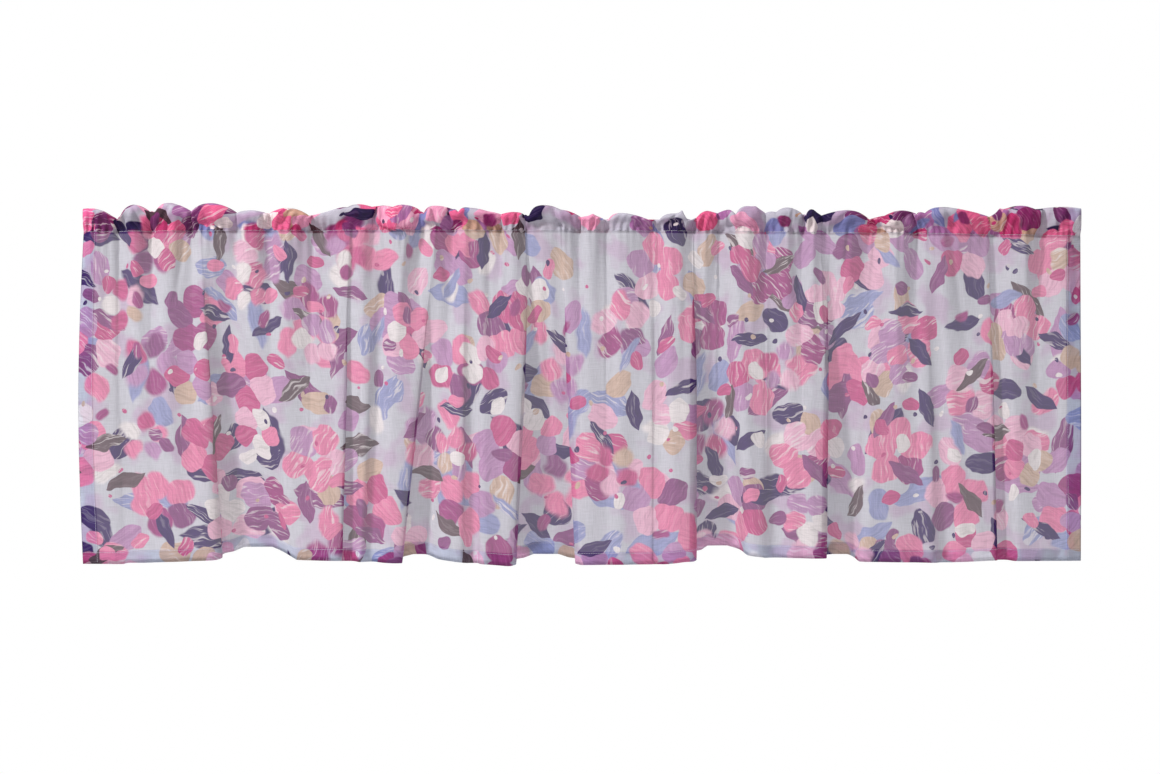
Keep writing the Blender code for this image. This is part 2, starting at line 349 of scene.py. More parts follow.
    def plan(self, along: np.ndarray, share: float) -> tuple[np.ndarray, np.ndarray]:
        """Plan of the hanging cloth at one height.

        Args:
            along: places on the gathered width.
            share: share of the drop.

        Returns:
            The real x and y of each place.
        """
        x = np.array(along, dtype=float)
        y = np.zeros_like(x)
        grown = mix(self.lap_at_seam, 1.0, ease(share / self.lap_grown))
        for fold in RECESSES:
            left, right = self.recess_edges(fold, share)
            depth = mix(fold.depth_top, fold.depth_hem, ease(share)) * MM
            back = np.ones_like(x)
            for edge, lap, side in ((left, fold.lap_left, 1.0), (right, fold.lap_right, -1.0)):
                turn = mix(self.soft_turn, self.sharp_turn, ease(lap / self.sharp_lap))
                turn = min(turn, self.narrow_turn * (right - left) + 2.0 * MM)
                passed = np.clip((along - edge) / turn, -1.0, 1.0)
                back = back * ease((side * passed + 1.0) / 2.0)
                x -= lap * grown * MM / 2 * np.sin(np.pi * passed)
            reach = self.front_reach * (right - left)
            beside = np.exp(-((along - (left + right) / 2) / reach) ** 2)
            grown_deep = mix(self.depth_at_seam, 1.0, ease(share / self.depth_grown))
            y += depth * (back - self.front_stand * beside) * grown_deep
        index, _, puff = self.ruffles_at(along)
        below = share * (self.seam_height(along) - self.hem_height(along))
        reach = self.ruffle_column("reach", index) * MM
        fading = np.exp(-(below / reach) ** self.fade_power)
        near = np.exp(-below / self.valley_reach)
        rise = puff ** mix(2.0, self.valley_power, near) - mix(0.5, self.valley_stand, near)
        wave = self.ruffle_column("swell", index) * MM * rise
        y -= wave * mix(self.ruffle_left, 1.0, fading)
        y -= self.creases(along, share) + self.puckers(along, below)
        y += self.seam_groove * np.exp(-(below / self.groove_reach) ** 2)
        y += self.sway * ease(share * 3.0) * np.sin(along * 31.0 + 5.0 * share + 0.7)
        y += self.sway * ease(share * 2.0) * np.sin(along * 53.0 - 7.0 * share + 2.1)
        bow = self.edge_bow * np.sin(np.pi * share)
        bowed = ease((-along / self.half_width - self.bow_from) / (1.0 - self.bow_from))
        return x - bow * bowed, y

    def backward(self, along: np.ndarray, share: float) -> tuple[np.ndarray, np.ndarray]:
        """Finds the level direction square to the cloth and away from the room.

        Args:
            along: places on the gathered width.
            share: share of the drop.

        Returns:
            Its x and y at each place.
        """
        step = 0.0002
        x_before, y_before = self.plan(along - step, share)
        x_after, y_after = self.plan(along + step, share)
        across = x_after - x_before
        inward = y_after - y_before
        length = np.hypot(across, inward)
        return -inward / length, across / length

    def marks(self, share: float) -> list[float]:
        """The two ends of the cloth and the edges of its recesses, in order."""
        edges = [edge for fold in RECESSES for edge in self.recess_edges(fold, share)]
        return [-self.half_width] + edges + [self.half_width]

    def follow(self, places: np.ndarray, share: float) -> np.ndarray:
        """Where columns placed at half height hang at another, each with its fold."""
        return np.interp(places, self.marks(0.5), self.marks(share))

    def spread(
        self, along: np.ndarray, curves: list[tuple[np.ndarray, np.ndarray]], count: int
    ) -> np.ndarray:
        """Spreads a sheet's columns so that they are closer where its plans turn.

        Args:
            along: many even places on the gathered width.
            curves: x and y of those places in each plan that counts.
            count: number of steps between columns.

        Returns:
            count + 1 places on the gathered width.
        """
        effort = np.zeros(len(along) - 1)
        for x, y in curves:
            heading = np.unwrap(np.arctan2(np.diff(y), np.diff(x)))
            turned = np.abs(np.diff(heading, prepend=heading[0]))
            length = np.hypot(np.diff(x), np.diff(y))
            wanted = length / self.flat_step + turned / self.turn_step
            effort += np.minimum(wanted, length / self.short_step)
        travelled = np.concatenate(([0.0], np.cumsum(effort)))
        return np.interp(np.linspace(0.0, travelled[-1], count + 1), travelled, along)

    def columns(self, count: int) -> np.ndarray:
        """Places for the hanging sheet's columns.

        Args:
            count: number of steps between columns.

        Returns:
            count + 1 places on the gathered width at half height.
        """
        along = np.linspace(-self.half_width, self.half_width, FINE_COUNT)
        plans = [self.plan(self.follow(along, share), share) for share in (0.0, 0.4, 1.0)]
        return self.spread(along, plans, count)


def hex_colour(code: str) -> tuple[float, float, float, float]:
    """Turns an sRGB hex value to a linear colour.

    Args:
        code: the value, such as '#d2cfd6'.

    Returns:
        Red, green, blue and an alpha of 1.
    """
    parts = [int(code[start : start + 2], 16) / 255.0 for start in (1, 3, 5)]
    linear = [p / 12.92 if p <= 0.04045 else ((p + 0.055) / 1.055) ** 2.4 for p in parts]
    return linear[0], linear[1], linear[2], 1.0


def add_node(
    tree: bpy.types.NodeTree, kind: str, inputs: dict[int | str, object], **settings: object
) -> bpy.types.Node:
    """Adds one node to a material.

    Args:
        tree: the node tree.
        kind: the node's type, without the "ShaderNode" that starts them all.
        inputs: for its inputs, a value to set, a socket to link, or a node whose first
            output to link.
        settings: its properties.

    Returns:
        The new node.
    """
    node = tree.nodes.new("ShaderNode" + kind)
    for name, value in settings.items():
        setattr(node, name, value)
    for name, value in inputs.items():
        if isinstance(value, bpy.types.Node):
            value = value.outputs[0]
        if isinstance(value, bpy.types.NodeSocket):
            tree.links.new(value, node.inputs[name])
        else:
            node.inputs[name].default_value = value
    return node


class Form(Enum):
    """The outlines that the print is made of."""

    BLOSSOM = "five rounded petals"
    LEAF = "a pointed leaf"
    PETAL = "one loose petal"
    DOT = "a round spot"


@dataclass(frozen=True)
class Screen:
    """One screen of the print: a motif on a jittered half-drop lattice, in mm."""

    form: Form
    spacing: float
    turn: float  # of the lattice, in degrees
    shift: tuple[float, float]
    jitter: float
    kept: float  # share of the lattice's places that carry the motif
    length: float  # half the motif's length, or the reach of a blossom's petals
    width: float  # half its width
    inks: tuple[str, ...]


# The inks are as deep as on doubled cloth; light through the open weave pales them.
BRIGHT_PINK = "#bf4f83"
PINK = "#da7b9f"
LIGHT_PINK = "#dda9bf"
MAGENTA = "#9b3d7b"
LILAC = "#b384ad"
MAUVE = "#87457b"
PURPLE = "#3a1b5e"
DUSTY_BLUE = "#9294bb"
TAN = "#c5a797"
OLIVE_GREY = "#624b55"
CREAM = "#dcd2d2"

SCREENS = (
    Screen(Form.LEAF, 118, 45, (0.10, 0.30), 0.36, 0.86, 50, 19,
           (DUSTY_BLUE, MAUVE, OLIVE_GREY, LILAC, PURPLE, DUSTY_BLUE)),
    Screen(Form.PETAL, 68, 21, (0.55, 0.15), 0.42, 0.74, 28, 19,
           (LILAC, TAN, LIGHT_PINK, PURPLE, DUSTY_BLUE, PINK, CREAM)),
    Screen(Form.BLOSSOM, 150, 45, (0.20, 0.62), 0.34, 0.92, 60, 23,
           (PINK, BRIGHT_PINK, LILAC, LIGHT_PINK, MAGENTA, PINK, MAUVE)),
    Screen(Form.LEAF, 92, 63, (0.72, 0.40), 0.40, 0.66, 36, 12,
           (PURPLE, OLIVE_GREY, MAUVE, PURPLE, DUSTY_BLUE)),
    Screen(Form.BLOSSOM, 170, 34, (0.35, 0.05), 0.36, 0.74, 48, 18,
           (LIGHT_PINK, CREAM, PINK, LILAC, TAN, BRIGHT_PINK)),
    Screen(Form.PETAL, 60, 52, (0.25, 0.80), 0.70, 0.40, 16, 11,
           (BRIGHT_PINK, PINK, CREAM, MAUVE, MAGENTA)),
    Screen(Form.DOT, 44, 30, (0.90, 0.55), 0.80, 0.28, 4.2, 4.2,
           (CREAM, TAN, PURPLE, BRIGHT_PINK)),
)


@dataclass(frozen=True)
class PrintedVoile:
    """Polyester voile, plain woven from fine uneven yarn and printed.

    It is matt and semi-sheer: light from behind shows through the yarn, and a little
    passes straight through the open weave.
    """

    name: str
    ground: str
    see_through: float  # share of light through the open weave
    glow: float  # share of the rest that comes through from behind
    roughness: float = 0.88
    slub_length: float = 26.0  # mm
    slub_width: float = 1.3  # mm, drawn about three times coarser than the yarn, to show
    slub_tone: float = 0.10  # by which the thick yarn is darker and the thin paler
    brush_grain: float = 32.0  # mm, of the wavering edges of the print
    brush_reach: float = 8.0  # mm
    stroke_grain: tuple[float, float] = (0.028, 0.24)  # per mm, along and across a stroke
    petal_from: float = 0.56  # share of a blossom's reach to its petals' middles
    wash_size: float = 70.0  # mm, of the pale clouds of colour under the print
    tint: str = "#eef1f8"  # of light that comes through the yarn
    hem_painted_light_tint: str = "#eff7ff"  # painted light: tints the hems bluer, standing in for the backlight through the doubled ground
    hem_painted_light_lift: float = 1.22  # painted light: brightens the hems, so that they look no darker than one ply
    hems_from: tuple[float, float] = (1.005, 0.539)  # metres out from the middle, and down
    depth: float = 1.0  # painted shade: a power that deepens the inks, standing in for the darker look of a second ply with light through it
    lift: float = 1.0  # brightens all colours along with that painted shade, so that the pale ones stay pale meanwhile

    def motif_edge(
        self, tree: bpy.types.NodeTree, screen: Screen, place: bpy.types.NodeSocket
    ) -> tuple[bpy.types.NodeSocket, bpy.types.NodeSocket | None]:
        """Measures how near each point is to its motif's outline.

        Args:
            tree: the material's node tree.
            screen: the motif's screen.
            place: the point's place in mm from its motif's middle, turned with it.

        Returns:
            A value that is 1 on the outline and less inside it, and for a blossom the
            number of the petal that the point is in.
        """
        parts = add_node(tree, "SeparateXYZ", {0: place})
        along, across = parts.outputs["X"], parts.outputs["Y"]
        petal = None
        offset = 0.0
        length = screen.length
        if screen.form is Form.BLOSSOM:
            reach = add_node(tree, "VectorMath", {0: place}, operation="LENGTH")
            angle = add_node(tree, "Math", {0: across, 1: along}, operation="ARCTAN2")
            fifth = 2.0 * math.pi / 5.0
            turns = add_node(tree, "Math", {0: angle, 1: fifth}, operation="DIVIDE")
            number = add_node(tree, "Math", {0: turns}, operation="ROUND")
            petal = number.outputs[0]
            centre = add_node(tree, "Math", {0: petal, 1: fifth}, operation="MULTIPLY")
            aside = add_node(tree, "Math", {0: angle, 1: centre}, operation="SUBTRACT")
            distance = reach.outputs["Value"]
            ways = [
                add_node(tree, "Math", {0: aside}, operation=way) for way in ("COSINE", "SINE")
            ]
            along, across = [
                add_node(tree, "Math", {0: distance, 1: way}, operation="MULTIPLY").outputs[0]
                for way in ways
            ]
            offset = self.petal_from * screen.length
            length = screen.length - offset
        centred = add_node(tree, "Math", {0: along, 1: offset}, operation="SUBTRACT")
        long_share = add_node(tree, "Math", {0: centred, 1: length}, operation="DIVIDE")
        wide_share = add_node(tree, "Math", {0: across, 1: screen.width}, operation="DIVIDE")
        if screen.form is Form.LEAF:
            side = add_node(tree, "Math", {0: wide_share}, operation="ABSOLUTE")
            edge = add_node(
                tree, "Math", {0: long_share, 1: long_share, 2: side}, operation="MULTIPLY_ADD"
            )
            return edge.outputs[0], petal
        both = add_node(tree, "CombineXYZ", {0: long_share, 1: wide_share})
        edge = add_node(tree, "VectorMath", {0: both}, operation="LENGTH")
        return edge.outputs["Value"], petal

    def print_screen(
        self,
        tree: bpy.types.NodeTree,
        screen: Screen,
        cloth: bpy.types.NodeSocket,
        under: bpy.types.NodeSocket,
    ) -> bpy.types.NodeSocket:
        """Prints one screen over what is there.

        Args:
            tree: the material's node tree.
            screen: the screen.
            cloth: place on the flat cloth, in mm.
            under: colour printed so far.

        Returns:
            The colour with this screen on it.
        """
        lattice = add_node(
            tree, "Mapping",
            {"Vector": cloth, "Location": (*screen.shift, 0.0),
             "Rotation": (0.0, 0.0, math.radians(screen.turn)),
             "Scale": (1.0 / screen.spacing, 1.0 / screen.spacing, 1.0)},
        )
        cell = add_node(
            tree, "TexVoronoi",
            {"Vector": lattice, "Scale": 1.0, "Randomness": screen.jitter},
            voronoi_dimensions="2D",
        )
        chance = add_node(tree, "SeparateXYZ", {0: cell.outputs["Color"]})
        # Each motif is turned by chance about its own middle.
        from_middle = add_node(
            tree, "VectorMath", {0: lattice, 1: cell.outputs["Position"]}, operation="SUBTRACT"
        )
        in_mm = add_node(
            tree, "VectorMath", {0: from_middle, "Scale": screen.spacing}, operation="SCALE"
        )
        angle = add_node(
            tree, "Math", {0: chance.outputs["X"], 1: 2.0 * math.pi}, operation="MULTIPLY"
        )
        turned = add_node(
            tree, "VectorRotate", {"Vector": in_mm, "Angle": angle}, rotation_type="Z_AXIS"
        )
        edge, petal = self.motif_edge(tree, screen, turned.outputs[0])
        # Some motifs have a crisp edge, and others fade out like a wet brush.
        faded = add_node(
            tree, "MapRange",
            {"Value": chance.outputs["Y"], "From Min": 0.62, "From Max": 0.95, "To Min": 0.97,
             "To Max": 0.62},
        )
        inside = add_node(
            tree, "MapRange",
            {"Value": edge, "From Min": 1.05, "From Max": faded},
            interpolation_type="SMOOTHSTEP",
        )
        carried = add_node(
            tree, "Math", {0: chance.outputs["Z"], 1: screen.kept}, operation="LESS_THAN"
        )
        cover = add_node(tree, "Math", {0: inside, 1: carried}, operation="MULTIPLY")
        pick = chance.outputs["Y"]
        if petal is not None:
            mixed = add_node(tree, "Math", {0: pick, 1: 97.0, 2: petal}, operation="MULTIPLY_ADD")
            drawn = add_node(tree, "TexWhiteNoise", {"W": mixed}, noise_dimensions="1D")
            pick = add_node(
                tree, "MapRange", {"Value": drawn.outputs["Value"], "To Max": 0.999}
            ).outputs[0]
        # One ink for each motif, or for each petal of a blossom.
        ink = add_node(tree, "ValToRGB", {"Fac": pick})
        ink.color_ramp.interpolation = "CONSTANT"
        for number, code in enumerate(screen.inks):
            if number < 2:
                stop = ink.color_ramp.elements[number]
                stop.position = number / len(screen.inks)
            else:
                stop = ink.color_ramp.elements.new(number / len(screen.inks))
            stop.color = hex_colour(code)
        # The brush's bristles leave darker and paler strokes along the motif.
        drawn_out = add_node(
            tree, "VectorMath", {0: turned, 1: (*self.stroke_grain, 1.0)}, operation="MULTIPLY"
        )
        seeded = add_node(
            tree, "VectorMath",
            {0: cell.outputs["Color"], 1: (40.0, 40.0, 40.0), 2: drawn_out},
            operation="MULTIPLY_ADD",
        )
        bristles = add_node(
            tree, "TexNoise", {"Vector": seeded, "Scale": 1.0, "Detail": 2.0, "Distortion": 0.6}
        )
        dark = add_node(
            tree, "MapRange",
            {"Value": bristles.outputs["Fac"], "From Min": 0.30, "From Max": 0.52, "To Min": 0.80},
        )
        shaded = add_node(
            tree, "VectorMath", {0: ink.outputs["Color"], "Scale": dark}, operation="SCALE"
        )
        pale = add_node(
            tree, "MapRange",
            {"Value": bristles.outputs["Fac"], "From Min": 0.53, "From Max": 0.68, "To Max": 0.70},
            interpolation_type="SMOOTHSTEP",
        )
        whitened = add_node(
            tree, "MapRange",
            {"Value": chance.outputs["X"], "From Min": 0.45, "From Max": 0.75, "To Min": 0.12},
            interpolation_type="SMOOTHSTEP",
        )
        strokes = add_node(tree, "Math", {0: pale, 1: whitened}, operation="MULTIPLY")
        painted = add_node(
            tree, "Mix", {0: strokes, 6: shaded, 7: hex_colour(CREAM)}, data_type="RGBA"
        )
        printed = add_node(
            tree, "Mix", {0: cover, 6: under, 7: painted.outputs[2]}, data_type="RGBA"
        )
        return printed.outputs[2]

    def build(self) -> bpy.types.Material:
        """Makes the material.

        Returns:
            The material.
        """
        material = bpy.data.materials.new(self.name)
        material.use_nodes = True
        tree = material.node_tree
        shader = tree.nodes["Principled BSDF"]
        flat = add_node(tree, "UVMap", {}, uv_map=FLAT_MAP)
        in_mm = add_node(tree, "VectorMath", {0: flat, "Scale": 1000.0}, operation="SCALE")
        # The print's edges waver as brushed ones do.
        ragged = add_node(
            tree, "TexNoise",
            {"Vector": in_mm, "Scale": 1.0 / self.brush_grain, "Detail": 1.0},
            noise_dimensions="2D",
        )
        centred = add_node(
            tree, "VectorMath",
            {0: ragged.outputs["Color"], 1: (0.5, 0.5, 0.5)},
            operation="SUBTRACT",
        )
        brushed = add_node(
            tree, "VectorMath",
            {0: centred, 1: (2.0 * self.brush_reach, 2.0 * self.brush_reach, 0.0), 2: in_mm},
            operation="MULTIPLY_ADD",
        )
        # Pale clouds of lilac lie on the ground, and the screens over them.
        wash = add_node(
            tree, "TexNoise",
            {"Vector": in_mm, "Scale": 1.0 / self.wash_size, "Detail": 2.0},
            noise_dimensions="2D",
        )
        washed = add_node(
            tree, "MapRange",
            {"Value": wash.outputs["Fac"], "From Min": 0.50, "From Max": 0.66, "To Max": 0.42},
            interpolation_type="SMOOTHSTEP",
        )
        base = add_node(
            tree, "Mix",
            {0: washed, 6: hex_colour(self.ground), 7: hex_colour(LILAC)},
            data_type="RGBA",
        )
        colour = base.outputs[2]
        for screen in SCREENS:
            colour = self.print_screen(tree, screen, brushed.outputs[0], colour)
        # Slubs run along the weft and the warp.
        yarns = []
        for slub in ((self.slub_length, self.slub_width), (self.slub_width, self.slub_length)):
            grain = (1.0 / slub[0], 1.0 / slub[1], 1.0)
            way = add_node(tree, "Mapping", {"Vector": in_mm, "Scale": grain})
            inputs = {"Vector": way, "Scale": 1.0, "Detail": 3.0}
            yarns.append(add_node(tree, "TexNoise", inputs, noise_dimensions="2D"))
        slubs = add_node(
            tree, "Math", {0: yarns[0].outputs["Fac"], 1: yarns[1].outputs["Fac"]}, operation="ADD"
        )
        # The slubs' tone, times the lift that goes with the doubled cloth's painted shade.
        tone = add_node(
            tree, "MapRange",
            {"Value": slubs, "From Min": 0.70, "From Max": 1.30,
             "To Min": self.lift * (1.0 + self.slub_tone),
             "To Max": self.lift * (1.0 - self.slub_tone)},
        )
        # Painted shade: on the doubled cloth the inks are deepened, standing in for the darker
        # look of two plies with light through them.
        inks_deepened_as_painted_shade = add_node(tree, "Gamma", {"Color": colour, "Gamma": self.depth})
        woven = add_node(tree, "VectorMath", {0: inks_deepened_as_painted_shade, "Scale": tone}, operation="SCALE")
        relief = add_node(tree, "Bump", {"Strength": 0.5, "Distance": 0.0004, "Height": slubs})
        # The hems are two plies more. Painted light: their colour is made bluer and brighter,
        # standing in for the backlight that comes through the doubled cloth.
        where = add_node(tree, "SeparateXYZ", {0: flat})
        aside = add_node(tree, "Math", {0: where.outputs["X"]}, operation="ABSOLUTE")
        at_side = add_node(
            tree, "Math", {0: aside, 1: self.hems_from[0]}, operation="GREATER_THAN"
        )
        at_foot = add_node(
            tree, "Math", {0: where.outputs["Y"], 1: -self.hems_from[1]}, operation="LESS_THAN"
        )
        doubled = add_node(tree, "Math", {0: at_side, 1: at_foot}, operation="MAXIMUM")
        # Painted light on the hems: a bluer, brighter colour.
        painted_hem_light = [channel * self.hem_painted_light_lift for channel in hex_colour(self.hem_painted_light_tint)]
        hem_painted_light_mix = add_node(
            tree, "Mix", {0: doubled, 6: (1.0, 1.0, 1.0, 1.0), 7: painted_hem_light}, data_type="RGBA"
        )
        colour_with_painted_hem_light = add_node(tree, "VectorMath", {0: woven, 1: hem_painted_light_mix.outputs[2]}, operation="MULTIPLY")
        tree.links.new(colour_with_painted_hem_light.outputs[0], shader.inputs["Base Color"])
        tree.links.new(relief.outputs[0], shader.inputs["Normal"])
        shader.inputs["Roughness"].default_value = self.roughness
        shader.inputs["Specular IOR Level"].default_value = 0.25
        # What comes through the yarn from behind, and through the gaps between yarns.
        tinted = add_node(
            tree, "VectorMath", {0: colour_with_painted_hem_light, 1: hex_colour(self.tint)[:3]}, operation="MULTIPLY"
        )
        through = add_node(tree, "BsdfTranslucent", {"Color": tinted, "Normal": relief})
        yarn = add_node(tree, "MixShader", {0: self.glow, 1: shader, 2: through})
        gaps = add_node(tree, "BsdfTransparent", {})
        cloth = add_node(tree, "MixShader", {0: self.see_through, 1: yarn, 2: gaps})
        tree.links.new(cloth.outputs[0], tree.nodes["Material Output"].inputs["Surface"])
        return material


@dataclass(frozen=True)
class SewingThread:
    """Spun polyester sewing thread: matt, with its twist drawn as fine slanting marks of painted
    shade and highlight.
    """

    name: str = "spun polyester thread"
    colour: str = "#cfcbd8"
    twist: float = 0.9  # mm between the marks of the twist

    def build(self) -> bpy.types.Material:
        """Makes the material.

        Returns:
            The material.
        """
        material = bpy.data.materials.new(self.name)
        material.use_nodes = True
        tree = material.node_tree
        shader = tree.nodes["Principled BSDF"]
        place = add_node(tree, "TexCoord", {})
        turned = add_node(
            tree, "Mapping", {"Vector": place.outputs["Object"], "Rotation": (0.0, 0.6, 0.0)}
        )
        # Painted shade and highlight: the twist's grooves are drawn darker and its ridges lighter
        # in the thread's colour.
        twist = add_node(
            tree, "TexWave", {"Vector": turned, "Scale": 2.0 * math.pi / (20.0 * self.twist * MM)}
        )
        shade = add_node(
            tree, "MapRange", {"Value": twist.outputs["Fac"], "To Min": 0.86, "To Max": 1.04}
        )
        spun = add_node(
            tree, "VectorMath", {0: hex_colour(self.colour)[:3], "Scale": shade}, operation="SCALE"
        )
        tree.links.new(spun.outputs[0], shader.inputs["Base Color"])
        shader.inputs["Roughness"].default_value = 0.7
        return material


@dataclass(frozen=True)
class PaintedBoard:
    """Board under matt paint, with the faint stipple that a roller leaves."""

    name: str = "matt painted board"
    colour: str = "#f8f7f8"
    stipple: float = 9.0  # mm, drawn about three times coarser than a roller's, to show
    fade_from: float = 1.1  # metres from its middle, where it starts to fade out of sight
    fade_to: float = 2.1

    def build(self) -> bpy.types.Material:
        """Makes the material.

        Returns:
            The material.
        """
        material = bpy.data.materials.new(self.name)
        material.use_nodes = True
        tree = material.node_tree
        shader = tree.nodes["Principled BSDF"]
        place = add_node(tree, "TexCoord", {})
        stipple = add_node(
            tree, "TexNoise",
            {"Vector": place.outputs["Object"], "Scale": 1.0 / (self.stipple * MM), "Detail": 3.0},
        )
        tone = add_node(
            tree, "MapRange", {"Value": stipple.outputs["Fac"], "To Min": 0.96, "To Max": 1.04}
        )
        mottled = add_node(
            tree, "VectorMath", {0: hex_colour(self.colour)[:3], "Scale": tone}, operation="SCALE"
        )
        relief = add_node(
            tree, "Bump", {"Strength": 0.2, "Distance": 0.0003, "Height": stipple.outputs["Fac"]}
        )
        tree.links.new(mottled.outputs[0], shader.inputs["Base Color"])
        tree.links.new(relief.outputs[0], shader.inputs["Normal"])
        shader.inputs["Roughness"].default_value = 0.9
        level = add_node(
            tree, "VectorMath",
            {0: place.outputs["Object"], 1: (1.0, 1.0, 0.0)},
            operation="MULTIPLY",
        )
        out = add_node(tree, "VectorMath", {0: level}, operation="LENGTH")
        gone = add_node(
            tree, "MapRange",
            {"Value": out.outputs["Value"], "From Min": self.fade_from, "From Max": self.fade_to},
            interpolation_type="SMOOTHSTEP",
        )
        clear = add_node(tree, "BsdfTransparent", {})
        faded = add_node(tree, "MixShader", {0: gone, 1: shader, 2: clear})
        tree.links.new(faded.outputs[0], tree.nodes["Material Output"].inputs["Surface"])
        return material


def link_mesh(name: str, shape: bmesh.types.BMesh) -> bpy.types.Object:
    """Adds an object to the scene with a finished bmesh as its mesh.

    Args:
        name: the object's and the mesh's name.
        shape: the bmesh, which is freed.

    Returns:
        The object.
    """
    mesh = bpy.data.meshes.new(name)
    shape.to_mesh(mesh)
    shape.free()
    mesh.shade_smooth()
    thing = bpy.data.objects.new(name, mesh)
    bpy.context.collection.objects.link(thing)
    return thing


@dataclass
class Layout:
    """A sheet's points by row and column: their places, and where each is on flat cloth."""

    x: np.ndarray
    y: np.ndarray
    z: np.ndarray
    across: np.ndarray
    up: np.ndarray

    def sheet(self, name: str) -> bpy.types.Object:
        """Builds the sheet of cloth, with its flat places as a UV map in metres.

        Args:
            name: the new object's name.

        Returns:
            The sheet.
        """
        rows, columns = self.x.shape
        shape = bmesh.new()
        bmesh.ops.create_grid(shape, x_segments=columns - 1, y_segments=rows - 1, size=1.0)
        thing = link_mesh(name, shape)
        mesh = thing.data
        places = np.empty(3 * len(mesh.vertices))
        mesh.vertices.foreach_get("co", places)
        places = places.reshape(-1, 3)
        column = np.rint((places[:, 0] + 1.0) / 2.0 * (columns - 1)).astype(int)
        row = np.rint((1.0 - places[:, 1]) / 2.0 * (rows - 1)).astype(int)
        for axis, values in enumerate((self.x, self.y, self.z)):
            places[:, axis] = values[row, column]
        mesh.vertices.foreach_set("co", places.ravel())
        corners = np.empty(len(mesh.loops), dtype=np.int32)
        mesh.loops.foreach_get("vertex_index", corners)
        flat = np.stack((self.across[row, column], self.up[row, column]), axis=1)
        for layer in list(mesh.uv_layers):
            mesh.uv_layers.remove(layer)
        mesh.uv_layers.new(name=FLAT_MAP).uv.foreach_set("vector", flat[corners].ravel())
        mesh.update()
        return thing


@dataclass
class HangingPanel:
    """The hanging cloth under the seam, with its side hems and bottom hem turned back."""

    cloth: GatheredCloth
    column_count: int = 820
    row_count: int = 82
    side_hem: float = 0.025  # width
    bottom_hem: float = 0.021
    ply_gap: float = 0.0006  # between the middles of two plies
    hem_columns: int = 8
    hem_rows: int = 5
    row_power: float = 1.18  # above 1, so that rows are closer near the seam
    corner_ease: float = 0.008  # past the side hem, where the bottom hem clears its plies
    flat_width: float = 2.06  # mean length of the folded cloth between its sides
    flat_drop: float = 0.560  # from the seam to the bottom edge

    def sides(self, front: np.ndarray) -> tuple[np.ndarray, np.ndarray, np.ndarray]:
        """Lays out the columns, round the left side, across the front, round the right.

        Args:
            front: the places of the front's columns.

        Returns:
            All columns' places, how many plies back each lies, and how far past the
            cloth's side each is on the flat cloth.
        """
        half = self.cloth.half_width
        inner = np.linspace(self.side_hem, 0.0008, self.hem_columns)
        places = np.concatenate((inner - half, front, half - inner[::-1]))
        depth = np.concatenate((np.ones(len(inner)), np.zeros(len(front)), np.ones(len(inner))))
        depth[len(inner)] = 0.5
        depth[-len(inner) - 1] = 0.5
        past = np.concatenate((-inner, np.zeros(len(front)), inner[::-1]))
        return places, depth, past

    def heights(self) -> tuple[np.ndarray, np.ndarray]:
        """Lays out the rows, down the front and up the back of the bottom hem.

        Returns:
            The rows' shares of the drop, and 0 on the front, 1 on the turned hem.
        """
        front = (np.arange(self.row_count + 1) / self.row_count) ** self.row_power
        turned = 1.0 - np.linspace(0.0008, self.bottom_hem, self.hem_rows) / self.flat_drop
        shares = np.concatenate((front, turned))
        folded = np.concatenate((np.zeros(len(front)), np.ones(len(turned))))
        folded[len(front) - 1] = 0.5
        return shares, folded

    def flat_places(self, x: np.ndarray, y: np.ndarray, past: np.ndarray) -> np.ndarray:
        """Finds where each column lies across the flat cloth.

        Args:
            x: the columns' real x at one height.
            y: their real y.
            past: how far past the cloth's side each is on the flat cloth.

        Returns:
            Metres from the middle of the flat cloth.
        """
        front = past == 0.0
        steps = np.hypot(np.diff(x[front]), np.diff(y[front]))
        travelled = np.concatenate(([0.0], np.cumsum(steps)))
        flat = past + np.sign(past) * self.flat_width / 2
        flat[front] = (travelled / travelled[-1] - 0.5) * self.flat_width
        return flat

    def layout(self) -> Layout:
        """Places every point of the cloth.

        Returns:
            The points, down the front and up the back of the bottom hem.
        """
        places, depth, past = self.sides(self.cloth.columns(self.column_count))
        shares, folded = self.heights()
        corner = self.side_hem + self.corner_ease - (self.cloth.half_width - np.abs(places))
        wrapped = 1.0 + ease(corner / self.corner_ease) * (2.0 - depth)
        rows = []
        for share, fold in zip(shares, folded):
            along = self.cloth.follow(places, share)
            x, y = self.cloth.plan(along, share)
            back_x, back_y = self.cloth.backward(along, share)
            gap = self.ply_gap * mix(depth, wrapped, fold)
            top = self.cloth.seam_height(along)
            drop = top - self.cloth.hem_height(self.cloth.follow(places, 1.0))
            sunk = self.ply_gap / 2 if fold == 0.5 else 0.0
            reached = 2.0 - share if fold == 1.0 else share
            flat = self.flat_places(x, y, past)
            rows.append((x + back_x * gap, y + back_y * gap, top - share * drop - sunk,
                         flat, np.full(len(x), -reached * self.flat_drop)))
        points = np.array(rows)
        return Layout(*[points[:, axis] for axis in range(5)])

    def build(self, finish: bpy.types.Material) -> bpy.types.Object:
        """Makes the panel and dresses it.

        Args:
            finish: the single cloth's material.

        Returns:
            The sheet.
        """
        panel = self.layout().sheet("voile_panel")
        panel.data.materials.append(finish)
        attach(panel, "root")
        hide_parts("valance_panel")
        return panel


class Tip(NamedTuple):
    """A pinched point on the heading's top edge, or a nick where its height is negative."""

    x: float  # mm
    width: float
    height: float


